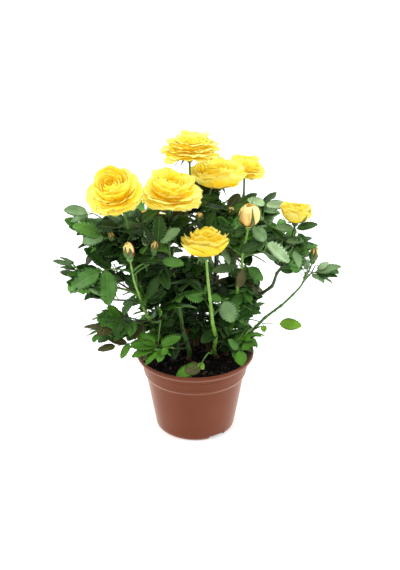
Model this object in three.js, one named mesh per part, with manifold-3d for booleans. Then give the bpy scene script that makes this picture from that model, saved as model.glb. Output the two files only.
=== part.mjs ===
// A miniature rose bush in a plastic nursery pot: a pot, its soil, the canes, the open blooms and
// buds at their ends, and the masses of leaves round them. Millimetres, +Z up, with the origin at
// the centre of the pot's flat underside and -Y towards the front of the bush.
import * as THREE from "three";
import { mergeVertices } from "three/addons/utils/BufferGeometryUtils.js";
import Module from "manifold-3d";

// ---------------------------------------------------------------- driving dimensions
const GAP = 0.35; // between two pieces that touch

const POT = {
  height: 85,
  rimRadius: 60,
  lipHeight: 3.5,
  lipEdge: 0.7,
  collarTop: { radius: 55.4, z: 77.5 },
  collarFoot: { radius: 52.6, z: 63.5 },
  wallTop: { radius: 50.4, z: 60.5 },
  wallFoot: { radius: 40.6, z: 5.5 },
  corner: { radius: 39.3, z: 1.9 },
  baseRadius: 36.5,
  wall: 1.3,
  sides: 40,
};
const DRAIN = { count: 3, bearing: 35, width: 19, height: 4.5, reach: 8 };
const SOIL = { level: 78, levelShare: 0.55, edgeDrop: 1.2, sides: 24 };

const CANE = { flare: 1.35, flareHeight: 9, sides: 6, steps: 5, bend: 0.36, uprightness: 0.6 };
const STOUT = { foot: 2.7, tip: 1.5 }; // the radii of a cane below a bloom or a large bud
const SLIM = { foot: 2.3, tip: 1.0 }; // and below a small bud

// Each shoot starts from the soil at its foot [x, y] and ends in a head, a bloom or a bud, whose
// base is at [x, y, z]. Tilt is how far the head leans in x and y for each unit of height, and
// size is the head's [radius, height].
const SHOOTS = [
  { name: "front", foot: [22, -6], head: [11, -65, 216], tilt: [-0.05, 0.32],
    form: "cup", size: [24.5, 29] },
  { name: "left", foot: [-17, 4], head: [-71, -58, 271], tilt: [-0.22, -0.45],
    form: "open", size: [26.5, 32] },
  { name: "middle", foot: [-6, -10], head: [-24, -32, 258], tilt: [0.08, -0.12],
    form: "open", size: [29, 31] },
  { name: "top", foot: [1, 22], head: [-5, 11, 285], tilt: [0.03, 0.18],
    form: "full", size: [30.5, 30] },
  { name: "upper_right", foot: [14, 8], head: [23, 20, 253], tilt: [0, 0.12],
    form: "cup", size: [30, 26.5] },
  { name: "back_right", foot: [29, 32], head: [50, 70, 246], tilt: [0.12, 0.12],
    form: "cup", size: [19.5, 21.5] },
  { name: "right", foot: [37, 18], head: [97, -15, 229], tilt: [0.08, 0.1],
    form: "goblet", size: [16.5, 22] },
  { name: "back_left", foot: [-22, 30], head: [-50, 76, 178], tilt: [-0.15, 0.4],
    form: "open", size: [28, 27] },
  { name: "back", foot: [14, 44], head: [28, 86, 178], tilt: [0.15, 0.5],
    form: "full", size: [27, 26] },
  { name: "large_bud", foot: [31, 0], head: [51, -36, 234], tilt: [0.06, -0.05],
    form: "bud", size: [11, 27] },
  { name: "left_bud", foot: [-36, 8], head: [-61, -62, 213], tilt: [-0.1, -0.05],
    form: "bud", size: [5, 20] },
  { name: "right_bud", foot: [38, 6], head: [115, -16, 189], tilt: [0.12, -0.02],
    form: "bud", size: [4, 19] },
];
const SMALL_BUD = 8; // a bud of less than this radius sits on a slim cane

// Each mass of leaves is an uneven ellipsoid, cut round the canes, the heads and the masses
// listed before it.
const MASSES = [
  { name: "left", centre: [-98, -36, 181], radii: [30, 32, 20] },
  { name: "upper_left", centre: [-94, -22, 224], radii: [30, 36, 22] },
  { name: "lower_left", centre: [-77, -28, 130], radii: [27, 32, 19] },
  { name: "front_low", centre: [-37, -38, 108], radii: [25, 20, 10] },
  { name: "far_right", centre: [120, -16, 183], radii: [20, 20, 12] },
  { name: "right", centre: [92, -10, 203], radii: [28, 31, 22] },
  { name: "upper_middle", centre: [-42, -22, 224], radii: [36, 42, 23] },
  { name: "upper_right", centre: [38, -12, 220], radii: [38, 42, 24] },
  { name: "crown", centre: [0, 26, 246], radii: [25, 26, 20] },
  { name: "middle", centre: [-22, -18, 168], radii: [46, 38, 30] },
  { name: "middle_right", centre: [46, -2, 154], radii: [24, 34, 28] },
  { name: "lower_middle", centre: [-12, 2, 118], radii: [42, 36, 17] },
  { name: "lower_right", centre: [43, -4, 107], radii: [24, 34, 19] },
  { name: "back_left", centre: [-56, 48, 184], radii: [42, 36, 40] },
  { name: "back_right", centre: [46, 54, 192], radii: [33, 34, 36] },
  { name: "back_low", centre: [2, 52, 130], radii: [44, 34, 32] },
];
const MASS = { detail: 2, uneven: 0.26, waves: 5 };

const COLOURS = {
  pot: 0x9c5a41,
  soil: 0x1c1512,
  cane: 0x4f8a2c,
  leaf: 0x24512a,
  bloom: 0xf7cf2a,
  bud: 0xd9d06a,
};

// ---------------------------------------------------------------- solids
const wasm = await Module();
wasm.setup();
const UP = new THREE.Vector3(0, 0, 1);

// A closed geometry as a solid that can be cut.
function toSolid(geometry) {
  const bare = new THREE.BufferGeometry();
  bare.setAttribute("position", geometry.getAttribute("position"));
  if (geometry.index) bare.setIndex(geometry.index);
  const merged = mergeVertices(bare, 1e-3);
  return new wasm.Manifold(
    new wasm.Mesh({
      numProp: 3,
      vertProperties: merged.getAttribute("position").array,
      triVerts: new Uint32Array(merged.index.array),
    }),
  );
}

// The largest body of a solid, as a geometry.
function toGeometry(solid) {
  const bodies = solid.decompose().sort((a, b) => b.volume() - a.volume());
  const mesh = bodies[0].getMesh();
  const geometry = new THREE.BufferGeometry();
  geometry.setAttribute("position", new THREE.BufferAttribute(mesh.vertProperties, 3));
  geometry.setIndex(new THREE.BufferAttribute(mesh.triVerts, 1));
  geometry.computeVertexNormals();
  return geometry;
}

const bush = new THREE.Group();

function addPiece(name, geometry, color, roughness) {
  const mesh = new THREE.Mesh(
    geometry,
    new THREE.MeshStandardMaterial({ color, roughness, metalness: 0 }),
  );
  mesh.name = name;
  bush.add(mesh);
}

// A profile of [radius, height] pairs turned about +Z.
function turned(profile, sides) {
  const points = profile.map(([radius, height]) => new THREE.Vector2(radius, height));
  return new THREE.LatheGeometry(points, sides).rotateX(Math.PI / 2);
}

// ---------------------------------------------------------------- pot and soil
// The outside of the pot from the base's edge to the lip.
function potOutside() {
  const { height, rimRadius, lipHeight, lipEdge } = POT;
  const lipFoot = height - lipHeight;
  return [
    [POT.baseRadius, 0],
    [POT.corner.radius, POT.corner.z],
    [POT.wallFoot.radius, POT.wallFoot.z],
    [POT.wallTop.radius, POT.wallTop.z],
    [POT.collarFoot.radius, POT.collarFoot.z],
    [POT.collarTop.radius, POT.collarTop.z],
    [rimRadius - lipEdge, lipFoot],
    [rimRadius, lipFoot + lipEdge],
    [rimRadius, height - lipEdge],
    [rimRadius - lipEdge, height],
  ];
}

// The same line one wall further in, from the floor's edge up to the collar.
function potInside(wall) {
  const { corner, wallFoot, wallTop, collarFoot, collarTop } = POT;
  const above = [wallFoot, wallTop, collarFoot, collarTop].map(({ radius, z }) => [radius - wall, z]);
  return [[corner.radius - wall, wall], ...above];
}

function potGeometry() {
  const lip = [POT.rimRadius - POT.lipEdge - POT.wall, POT.height];
  const inside = [lip, ...potInside(POT.wall).reverse()];
  let solid = toSolid(turned([[0, 0], ...potOutside(), ...inside, [0, POT.wall]], POT.sides));
  for (let i = 0; i < DRAIN.count; i++) {
    const slot = new THREE.BoxGeometry(DRAIN.width, 2 * DRAIN.reach, 2 * DRAIN.height);
    slot.translate(0, -POT.wallFoot.radius, 0);
    slot.rotateZ(THREE.MathUtils.degToRad(DRAIN.bearing + (360 * i) / DRAIN.count));
    solid = solid.subtract(toSolid(slot));
  }
  return toGeometry(solid);
}

// The soil fills the pot to just under the collar's top and is a little higher in the middle.
function soilGeometry() {
  const wall = POT.wall + GAP;
  const inside = potInside(wall);
  const edge = [inside.pop()[0], SOIL.level - SOIL.edgeDrop];
  const middle = [SOIL.levelShare * edge[0], SOIL.level];
  return turned([[0, wall], ...inside, edge, middle, [0, SOIL.level]], SOIL.sides);
}

// The space inside the rim, above the soil, which no leaves may fill.
function rimSpace() {
  const radius = POT.rimRadius + GAP;
  const top = POT.height + GAP;
  return turned([[0, SOIL.level], [radius, SOIL.level], [radius, top], [0, top]], POT.sides);
}

// ---------------------------------------------------------------- canes
// A cane leaves the soil leaning towards its head, and meets the head along the head's own axis.
function canePath({ foot, head, tilt }) {
  const start = new THREE.Vector3(foot[0], foot[1], SOIL.level + GAP);
  const end = new THREE.Vector3(...head);
  const reach = start.distanceTo(end) * CANE.bend;
  const straight = end.clone().sub(start).normalize();
  const rise = straight.addScaledVector(UP, CANE.uprightness).normalize();
  const axis = new THREE.Vector3(tilt[0], tilt[1], 1).normalize();
  return new THREE.CubicBezierCurve3(
    start,
    start.clone().addScaledVector(rise, reach),
    end.clone().addScaledVector(axis, -reach),
    end,
  );
}

// An upright cylinder bent along the path. It tapers from its foot to its tip and flares at the
// soil, where its cut is level. Extra makes it that much thicker.
function caneGeometry(shoot, extra = 0) {
  const path = canePath(shoot);
  const length = path.getLength();
  const { foot, tip } = shoot.size[0] < SMALL_BUD ? SLIM : STOUT;
  const geometry = new THREE.CylinderGeometry(1, 1, 1, CANE.sides, CANE.steps).rotateX(Math.PI / 2);
  const position = geometry.getAttribute("position");
  for (let i = 0; i < position.count; i++) {
    const t = position.getZ(i) + 0.5;
    const flare = 1 + (CANE.flare - 1) * Math.max(0, 1 - (t * length) / CANE.flareHeight);
    const radius = THREE.MathUtils.lerp(foot, tip, t) * flare + extra;
    const turn = new THREE.Quaternion().setFromUnitVectors(UP, t > 0 ? path.getTangentAt(t) : UP);
    const across = new THREE.Vector3(position.getX(i), position.getY(i), 0).multiplyScalar(radius);
    const at = path.getPointAt(t).add(across.applyQuaternion(turn));
    position.setXYZ(i, at.x, at.y, at.z);
  }
  return geometry;
}

// ---------------------------------------------------------------- blooms and buds
// The outside of each form of head above its hip, as [share of the radius, share of the height].
const HEAD_FORMS = {
  open: [[0.42, 0.3], [0.84, 0.42], [1, 0.58], [0.95, 0.76], [0.7, 0.92], [0.38, 0.98]],
  full: [[0.5, 0.27], [0.9, 0.36], [1, 0.54], [0.92, 0.74], [0.66, 0.92], [0.34, 0.98]],
  cup: [[0.4, 0.28], [0.76, 0.42], [0.95, 0.62], [1, 0.8], [0.8, 0.95], [0.42, 0.98]],
  goblet: [[0.6, 0.34], [0.85, 0.5], [0.95, 0.7], [1, 0.92], [0.7, 0.99], [0.35, 0.97]],
  bud: [[0.8, 0.36], [1, 0.5], [0.96, 0.64], [0.78, 0.8], [0.5, 0.93], [0.2, 0.99]],
};
const HIP = { radius: 3.4, height: 6, widest: 0.75, outline: [[0.55, 0], [1, 0.5], [0.85, 1]] };
const HEAD_SIDES = { bloom: 12, bud: 8 };
const PETAL_WAVE = { depth: 0.035, count: 5, climb: 4 };

// A head stands on its base at the end of its cane. Extra makes it that much larger all round.
function headGeometry({ head, tilt, form, size: [radius, height] }, extra = 0) {
  const hipRadius = Math.min(HIP.radius, HIP.widest * radius);
  const hip = HIP.outline.map(([r, z]) => [r * hipRadius, z * HIP.height]);
  const petals = HEAD_FORMS[form].map(([r, z]) => [r * radius, z * height]);
  const grown = [...hip, ...petals].map(([r, z]) => [r + extra, z + extra * (2 * (z / height) - 1)]);
  const sides = form === "bud" ? HEAD_SIDES.bud : HEAD_SIDES.bloom;
  const geometry = turned([[0, grown[0][1]], ...grown, [0, height + extra]], sides);
  const position = geometry.getAttribute("position");
  for (let i = 0; i < position.count && form !== "bud"; i++) {
    const turn = Math.atan2(position.getY(i), position.getX(i));
    const wave = Math.cos(PETAL_WAVE.count * turn + position.getZ(i) / PETAL_WAVE.climb);
    const out = 1 + PETAL_WAVE.depth * wave;
    position.setXY(i, position.getX(i) * out, position.getY(i) * out);
  }
  const axis = new THREE.Vector3(tilt[0], tilt[1], 1).normalize();
  geometry.applyQuaternion(new THREE.Quaternion().setFromUnitVectors(UP, axis));
  const base = new THREE.Vector3(...head).addScaledVector(axis, GAP);
  return geometry.translate(base.x, base.y, base.z);
}

// ---------------------------------------------------------------- masses of leaves
// How far out the surface of a mass lies in a direction: slow waves, different for each mass.
function unevenness({ x, y, z }, seed) {
  let height = 0;
  for (let i = 1; i <= MASS.waves; i++) {
    const turn = seed * 2.4 + i * 1.7;
    const along = x * Math.sin(turn) + y * Math.cos(turn * 1.3) + z * Math.sin(turn * 0.7);
    height += Math.sin((1.6 + 1.1 * i) * along + turn) / MASS.waves;
  }
  return 1 + MASS.uneven * height;
}

function massGeometry({ centre, radii }, seed, extra = 0) {
  const geometry = new THREE.IcosahedronGeometry(1, MASS.detail);
  const position = geometry.getAttribute("position");
  for (let i = 0; i < position.count; i++) {
    const direction = new THREE.Vector3().fromBufferAttribute(position, i);
    const out = unevenness(direction, seed);
    const [x, y, z] = direction.toArray().map((d, k) => centre[k] + d * (radii[k] * out + extra));
    position.setXYZ(i, x, y, z);
  }
  return geometry;
}

// ---------------------------------------------------------------- the bush
addPiece("pot", potGeometry(), COLOURS.pot, 0.45);
addPiece("soil", soilGeometry(), COLOURS.soil, 0.95);

const taken = [toSolid(rimSpace())];
for (const shoot of SHOOTS) {
  const isBud = shoot.form === "bud";
  const headName = isBud ? shoot.name : "bloom_" + shoot.name;
  addPiece("cane_" + shoot.name, caneGeometry(shoot), COLOURS.cane, 0.5);
  addPiece(headName, headGeometry(shoot), isBud ? COLOURS.bud : COLOURS.bloom, 0.6);
  taken.push(toSolid(caneGeometry(shoot, GAP)), toSolid(headGeometry(shoot, GAP)));
}

MASSES.forEach((mass, seed) => {
  const whole = toSolid(massGeometry(mass, seed));
  const cut = taken.reduce((solid, other) => solid.subtract(other), whole);
  addPiece("foliage_" + mass.name, toGeometry(cut), COLOURS.leaf, 0.6);
  taken.push(toSolid(massGeometry(mass, seed, GAP)));
});

export default bush;
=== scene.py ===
"""Looks of the potted miniature rose: pot, soil, bark, twigs, leaves, sepals and petals."""

import math

import bpy
import numpy as np
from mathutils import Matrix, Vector, noise
from mathutils.bvhtree import BVHTree


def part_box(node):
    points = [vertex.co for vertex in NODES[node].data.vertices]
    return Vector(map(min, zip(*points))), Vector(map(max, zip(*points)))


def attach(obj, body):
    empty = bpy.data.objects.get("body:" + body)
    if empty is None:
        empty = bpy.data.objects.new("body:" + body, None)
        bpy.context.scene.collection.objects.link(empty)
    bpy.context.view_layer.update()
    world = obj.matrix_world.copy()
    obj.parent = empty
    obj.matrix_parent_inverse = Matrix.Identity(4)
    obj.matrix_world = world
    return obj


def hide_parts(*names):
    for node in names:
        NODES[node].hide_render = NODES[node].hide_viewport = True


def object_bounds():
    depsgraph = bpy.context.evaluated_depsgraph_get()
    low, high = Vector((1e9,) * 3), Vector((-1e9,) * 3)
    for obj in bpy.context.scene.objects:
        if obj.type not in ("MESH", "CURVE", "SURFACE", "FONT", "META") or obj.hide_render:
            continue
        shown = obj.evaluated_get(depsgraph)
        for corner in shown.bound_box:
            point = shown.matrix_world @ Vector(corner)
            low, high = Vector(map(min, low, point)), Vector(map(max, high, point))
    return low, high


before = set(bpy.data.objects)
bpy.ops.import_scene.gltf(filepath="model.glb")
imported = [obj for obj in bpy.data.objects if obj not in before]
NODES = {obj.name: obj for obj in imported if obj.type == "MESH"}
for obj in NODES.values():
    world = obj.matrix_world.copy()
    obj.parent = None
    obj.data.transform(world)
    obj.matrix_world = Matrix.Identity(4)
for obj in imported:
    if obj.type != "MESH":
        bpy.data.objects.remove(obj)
CAD_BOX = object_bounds()
MM = 0.001
TURN = 2 * math.pi
GOLDEN = math.radians(137.508)

# Shapes are worked out in millimetres and scaled to metres when their meshes are made.


# ------------------------------------------------------------------ small maths
def unit(v):
    return v / (np.linalg.norm(v, axis=-1, keepdims=True) + 1e-12)


def vec(*xyz):
    return np.array(xyz, float)


def frame_of(direction, up=(0.0, 0.0, 1.0)):
    """Rows x (along), y (across), z (up side) for a thing that points in a direction."""
    x = unit(np.asarray(direction, float))
    y = np.cross(np.asarray(up, float), x)
    if np.linalg.norm(y) < 1e-3:
        y = np.cross(vec(0.3, 1, 0), x)
    y = unit(y)
    return np.array([x, y, np.cross(x, y)])


def turn_about(v, axis, angle):
    axis = unit(np.asarray(axis, float))
    v = np.asarray(v, float)
    c, s = math.cos(angle), math.sin(angle)
    return v * c + np.cross(axis, v) * s + axis * np.dot(axis, v) * (1 - c)


def spin(points, angle):
    """Points turned about the z axis."""
    c, s = math.cos(angle), math.sin(angle)
    return points @ np.array([[c, s, 0], [-s, c, 0], [0, 0, 1]])


def resample(path, count):
    step = np.linalg.norm(np.diff(path, axis=0), axis=1)
    along = np.concatenate([[0], np.cumsum(step)])
    t = np.linspace(0, along[-1], count)
    return np.stack([np.interp(t, along, path[:, k]) for k in range(path.shape[1])], 1)


def smooth_path(path, rounds):
    path = path.copy()
    for _ in range(rounds):
        path[1:-1] = 0.25 * path[:-2] + 0.5 * path[1:-1] + 0.25 * path[2:]
    return path


def bezier(p0, p1, p2, p3, count):
    t = np.linspace(0, 1, count)[:, None]
    s = 1 - t
    return s ** 3 * p0 + 3 * t * s ** 2 * p1 + 3 * t * t * s * p2 + t ** 3 * p3


def mix(a, b, t):
    return tuple(x + (y - x) * t for x, y in zip(a, b))


def shade(colour, factor):
    return tuple(min(1.0, c * factor) for c in colour)


def pick(shares, rng):
    """One of the names, each as often as its share says."""
    names = list(shares)
    weights = np.array([shares[n] for n in names], float)
    return names[int(rng.choice(len(names), p=weights / weights.sum()))]


# ------------------------------------------------------------------ mesh making
class Pile:
    """Faces of one kind, gathered and made into one mesh. Each face has a tint, an index."""

    def __init__(self):
        self.verts, self.quads, self.tints, self.count = [], [], [], 0

    def add(self, verts, quads, tint):
        verts = np.asarray(verts, float).reshape(-1, 3)
        quads = np.asarray(quads, int)
        self.verts.append(verts)
        self.quads.append(quads + self.count)
        self.tints.append(np.broadcast_to(np.asarray(tint, int), (len(quads),)))
        self.count += len(verts)

    def mesh(self, name, materials, flat=False):
        verts = np.concatenate(self.verts) * MM
        quads = np.concatenate(self.quads)
        mesh = bpy.data.meshes.new(name)
        # A quad that repeats its third vertex is a triangle.
        faces = [q[:3] if q[2] == q[3] else q for q in quads.tolist()]
        mesh.from_pydata(verts.tolist(), [], faces)
        for m in materials:
            mesh.materials.append(m)
        mesh.polygons.foreach_set("material_index", np.concatenate(self.tints).astype(np.int32))
        mesh.polygons.foreach_set("use_smooth", np.full(len(faces), not flat))
        mesh.update()
        return linked(name, mesh)


def linked(name, data):
    obj = bpy.data.objects.new(name, data)
    bpy.context.scene.collection.objects.link(obj)
    return obj


def grid_quads(rows, columns, closed=False):
    """The quads of a grid of points, row after row, that may close round each row."""
    across = np.arange(columns if closed else columns - 1)
    i, j = np.meshgrid(np.arange(rows - 1), across, indexing="ij")
    k = (j + 1) % columns
    low, high = i * columns, (i + 1) * columns
    return np.stack([low + j, low + k, high + k, high + j], -1).reshape(-1, 4)


def stack_quads(rows, sides):
    """The quads of a stack of rings, closed at its ends by the two points after the rings."""
    j = np.arange(sides)
    k = (j + 1) % sides
    foot, head = np.full(sides, rows * sides), np.full(sides, rows * sides + 1)
    last = (rows - 1) * sides
    return np.concatenate([grid_quads(rows, sides, closed=True), np.stack([k, j, foot, foot], 1),
                           np.stack([last + j, last + k, head, head], 1)])


def add_turned(pile, rings, ends, tint=0):
    """A closed body from its rings (rows, sides, xyz) and the two points that close it."""
    rows, sides = rings.shape[:2]
    pile.add(np.concatenate([rings.reshape(-1, 3), ends]), stack_quads(rows, sides), tint)


def circle(sides):
    angle = np.arange(sides) * TURN / sides
    return np.stack([np.cos(angle), np.sin(angle)], 1)


def frames_along(path):
    """The direction and two sides at each point of a path, carried along without twist."""
    tangent = unit(np.gradient(path, axis=0))
    side = np.cross(tangent[0], vec(0.31, 0.83, 0.12))
    sides = []
    for t in tangent:
        side = unit(side - t * np.dot(side, t))
        sides.append(side)
    sides = np.array(sides)
    return tangent, sides, np.cross(tangent, sides)


def tube(pile, path, radii, sides, tint=0, relief=1.0):
    """A closed tube along a path. Relief scales the radius, by point and side."""
    _, a, b = frames_along(path)
    round_ = circle(sides)
    radii = np.asarray(radii, float)[:, None] * np.ones(sides) * relief
    out = round_[None, :, :1] * a[:, None] + round_[None, :, 1:] * b[:, None]
    add_turned(pile, path[:, None] + radii[..., None] * out, path[[0, -1]], tint)


# ------------------------------------------------------------------ materials
def mottled(name, colour, other, scale, roughness, bump=0.0, bump_scale=None, **sockets):
    """A surface that wanders between two near colours, with fine relief and a varied gloss."""
    m = bpy.data.materials.new(name)
    m.use_nodes = True
    nodes, links = m.node_tree.nodes, m.node_tree.links
    bsdf = nodes["Principled BSDF"]
    place = nodes.new("ShaderNodeTexCoord")
    pattern = nodes.new("ShaderNodeTexNoise")
    pattern.inputs["Scale"].default_value = scale
    pattern.inputs["Detail"].default_value = 4.0
    links.new(place.outputs["Object"], pattern.inputs["Vector"])
    ramp = nodes.new("ShaderNodeValToRGB")
    for element, at, rgb in zip(ramp.color_ramp.elements, (0.35, 0.65), (colour, other)):
        element.position, element.color = at, (*rgb, 1)
    links.new(pattern.outputs["Fac"], ramp.inputs["Fac"])
    links.new(ramp.outputs["Color"], bsdf.inputs["Base Color"])
    gloss = nodes.new("ShaderNodeMapRange")
    gloss.inputs["To Min"].default_value = roughness - 0.06
    gloss.inputs["To Max"].default_value = roughness + 0.06
    links.new(pattern.outputs["Fac"], gloss.inputs["Value"])
    links.new(gloss.outputs["Result"], bsdf.inputs["Roughness"])
    if bump:
        fine = nodes.new("ShaderNodeTexNoise")
        fine.inputs["Scale"].default_value = bump_scale or scale * 6
        fine.inputs["Detail"].default_value = 5.0
        links.new(place.outputs["Object"], fine.inputs["Vector"])
        relief = nodes.new("ShaderNodeBump")
        relief.inputs["Strength"].default_value = bump
        relief.inputs["Distance"].default_value = 0.0006
        links.new(fine.outputs["Fac"], relief.inputs["Height"])
        links.new(relief.outputs["Normal"], bsdf.inputs["Normal"])
    for socket, value in sockets.items():
        bsdf.inputs[socket.replace("_", " ")].default_value = value
    return m


# Subsurface is the petals' own translucency. The faint golden emission is painted light: a glow that lifts
# the shade in the petals' creases, on blooms and buds alike.
PETAL_TRANSLUCENCY_AND_PAINTED_GLOW = dict(Subsurface_Weight=0.65, Subsurface_Scale=0.0003, Subsurface_Radius=(1.0, 0.7, 0.10),
                  Emission_Color=(1.0, 0.58, 0.02, 1), Emission_Strength=0.10, Specular_IOR_Level=0.10)
PETAL_KEYS = [(0.96, 0.42, 0.050), (0.98, 0.54, 0.014), (0.99, 0.65, 0.014), (1.0, 0.75, 0.032),
              (1.0, 0.82, 0.10), (1.0, 0.90, 0.25)]
PETAL_SHINE = (1.0, 0.93, 0.30)
PETAL_STEPS = 9


def petal_colour(step):
    at = step / (PETAL_STEPS - 1) * (len(PETAL_KEYS) - 1)
    i = min(int(at), len(PETAL_KEYS) - 2)
    return mix(PETAL_KEYS[i], PETAL_KEYS[i + 1], at - i)


def petal_materials(name, strength):
    rows = [(shade(petal_colour(i), strength), shade(mix(petal_colour(i), PETAL_SHINE, 0.10), strength))
            for i in range(PETAL_STEPS)]
    return [mottled(f"{name}_{i}", a, b, 260, 0.62, bump=0.15, bump_scale=900, **PETAL_TRANSLUCENCY_AND_PAINTED_GLOW)
            for i, (a, b) in enumerate(rows)]


PETAL = petal_materials("petal", 1.0)
# The petal colours darkened to 0.8: painted shade for blooms that lie in the shade of the blooms above
# them.
PETAL_IN_PAINTED_SHADE = petal_materials("soft_petal", 0.80)
CREAM_STEPS = 4
CREAM = [mottled(f"cream_{i}", mix((0.95, 0.58, 0.12), (1.0, 0.78, 0.30), i / 3),
                 mix((0.96, 0.50, 0.14), (1.0, 0.82, 0.40), i / 3), 120, 0.55, bump=0.15, bump_scale=900,
                 **PETAL_TRANSLUCENCY_AND_PAINTED_GLOW) for i in range(CREAM_STEPS)]

LEAF_TINTS = {
    "deep": (0.013, 0.040, 0.008),
    "dark": (0.031, 0.088, 0.015),
    "mid": (0.084, 0.232, 0.038),
    "fresh": (0.085, 0.250, 0.018),
    "lime": (0.180, 0.380, 0.028),
    # The next two tints are a paler greyish green on leaf tops: partly the leaves' own tone, partly painted
    # sheen of the bright surroundings.
    "grey": (0.165, 0.295, 0.120),
    "pale": (0.340, 0.500, 0.260),
    "bronze": (0.105, 0.096, 0.036),
    # The last tint is painted shade: a dark brownish green for leaves that lie in the shade under the
    # blooms.
    "dusk": (0.034, 0.036, 0.012),
}
TINT_NAMES = list(LEAF_TINTS)
FACE, RIB, UNDER = 0, 1, 2
LEAF_MATERIALS = []
for tint_name, tint in LEAF_TINTS.items():
    LEAF_MATERIALS += [
        mottled("leaf_" + tint_name, shade(tint, 0.8), shade(tint, 1.25), 90, 0.40, bump=0.35,
                bump_scale=700, Specular_IOR_Level=0.20),
        mottled("leaf_rib_" + tint_name, mix(tint, (0.20, 0.34, 0.06), 0.40),
                mix(tint, (0.26, 0.40, 0.08), 0.45), 200, 0.5, bump=0.2,
                Specular_IOR_Level=0.15),
        mottled("leaf_under_" + tint_name, mix(tint, (0.10, 0.18, 0.07), 0.55),
                mix(tint, (0.14, 0.23, 0.10), 0.55), 120, 0.6, bump=0.3,
                Specular_IOR_Level=0.10),
    ]

STEM_TINTS = {
    "bright": ((0.14, 0.32, 0.030), (0.22, 0.43, 0.055)),
    "green": ((0.060, 0.160, 0.020), (0.100, 0.225, 0.030)),
    "dark": ((0.022, 0.052, 0.014), (0.042, 0.090, 0.020)),
    "brown": ((0.10, 0.055, 0.022), (0.17, 0.10, 0.045)),
    "red": ((0.14, 0.040, 0.022), (0.12, 0.10, 0.030)),
}
STEM_NAMES = list(STEM_TINTS)
STEM = [mottled("stem_" + k, a, b, 160, 0.42, bump=0.4, bump_scale=420) for k, (a, b) in STEM_TINTS.items()]
SEPAL_TINTS = {
    "green": ((0.045, 0.13, 0.020), (0.080, 0.19, 0.030)),
    "light": ((0.12, 0.27, 0.04), (0.17, 0.33, 0.06)),
    "red": ((0.15, 0.024, 0.012), (0.20, 0.06, 0.02)),
}
SEPAL = [mottled("sepal_" + k, a, b, 220, 0.5, bump=0.3, bump_scale=800)
         for k, (a, b) in SEPAL_TINTS.items()]
GREEN, LIGHT, RED = range(3)
SOIL = [
    mottled("soil_dark", (0.004, 0.003, 0.003), (0.014, 0.010, 0.008), 420, 0.9, bump=0.9, bump_scale=1500,
            Specular_IOR_Level=0.1),
    mottled("soil_brown", (0.018, 0.012, 0.008), (0.034, 0.023, 0.015), 420, 0.9, bump=0.9,
            bump_scale=1500),
    mottled("soil_bark", (0.060, 0.036, 0.020), (0.10, 0.062, 0.035), 420, 0.85, bump=0.9, bump_scale=1500),
]
POT_MATERIAL = mottled("pot_plastic", (0.152, 0.037, 0.014), (0.174, 0.045, 0.018), 14, 0.30, bump=0.10,
                       bump_scale=260, Specular_IOR_Level=0.12, Sheen_Weight=0.7, Sheen_Roughness=0.35,
                       Sheen_Tint=(1.0, 0.72, 0.55, 1))


# ------------------------------------------------------------------ what the frame gives
def node_points(name):
    mesh = NODES[name].data
    co = np.zeros(len(mesh.vertices) * 3)
    mesh.vertices.foreach_get("co", co)
    return co.reshape(-1, 3) / MM


def node_tree(name):
    faces = [tuple(p.vertices) for p in NODES[name].data.polygons]
    return BVHTree.FromPolygons([tuple(p) for p in node_points(name)], faces)


def cane_line(name):
    """The centre line of a cane, from the soil to its head, and its radius at each point."""
    points = node_points(name)
    edges = np.array([tuple(e.vertices) for e in NODES[name].data.edges])
    low, high = points[:, 2].min(), points[:, 2].max()
    line, radii = [points[points[:, 2] < low + 3].mean(0)], []
    for z in np.linspace(low + 9, high - 3, 26):
        a, b = points[edges[:, 0]], points[edges[:, 1]]
        cut = (a[:, 2] - z) * (b[:, 2] - z) < 0
        a, b = a[cut], b[cut]
        hit = a + (b - a) * ((z - a[:, 2]) / (b[:, 2] - a[:, 2]))[:, None]
        line.append((hit.min(0) + hit.max(0)) / 2)
        radii.append(np.ptp(hit[:, :2], axis=0).min() / 2)
    line.append(points[points[:, 2] > high - 2.5].mean(0))
    line = smooth_path(resample(np.array(line), 40), 6)
    return line, np.linspace(radii[0], radii[-1], 40)


def is_head(name):
    return name.startswith("bloom_") or (name.endswith("_bud") and not name.startswith("cane_"))


CANES = {n[5:]: cane_line(n) for n in sorted(NODES) if n.startswith("cane_")}
HEADS = {n.replace("bloom_", ""): n for n in sorted(NODES) if is_head(n)}


def head_frame(key):
    """The base, the axis, the radius and the height of a bloom or bud."""
    points = node_points(HEADS[key])
    base = CANES[key][0][-1]
    axis = unit(points.mean(0) - base)
    for _ in range(3):
        along = (points - base) @ axis
        across = points - base - along[:, None] * axis
        out = np.linalg.norm(across, axis=1)
        wide = out > 0.6 * out.max()
        axis = unit(axis * along[wide].mean() + across[wide].mean(0))
    along = (points - base) @ axis
    across = np.linalg.norm(points - base - along[:, None] * axis, axis=1)
    return base, axis, across.max(), along.max()


HEAD_FRAMES = {key: head_frame(key) for key in HEADS}
MASS_NAMES = sorted(n[8:] for n in NODES if n.startswith("foliage_"))
MASS_TREES = {n: node_tree("foliage_" + n) for n in MASS_NAMES}
MASS_POINTS = {n: node_points("foliage_" + n) for n in MASS_NAMES}
MASS_BOXES = {n: (p.min(0), p.max(0)) for n, p in MASS_POINTS.items()}
MASS_MIDDLES = {n: (lo + hi) / 2 for n, (lo, hi) in MASS_BOXES.items()}


def depth_in(tree, p):
    """How deep a point lies inside a closed solid, in millimetres; negative outside it."""
    at, normal, _, distance = tree.find_nearest(Vector(p))
    return -math.copysign(distance, (Vector(p) - at).dot(normal))


# ------------------------------------------------------------------ pot
POT_LO, POT_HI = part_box("pot")
POT_TOP = POT_HI.z / MM
RIM = (POT_HI.x - POT_LO.x) / 2 / MM
POT_SIDES = 192
POT_WALL = 1.3
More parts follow.
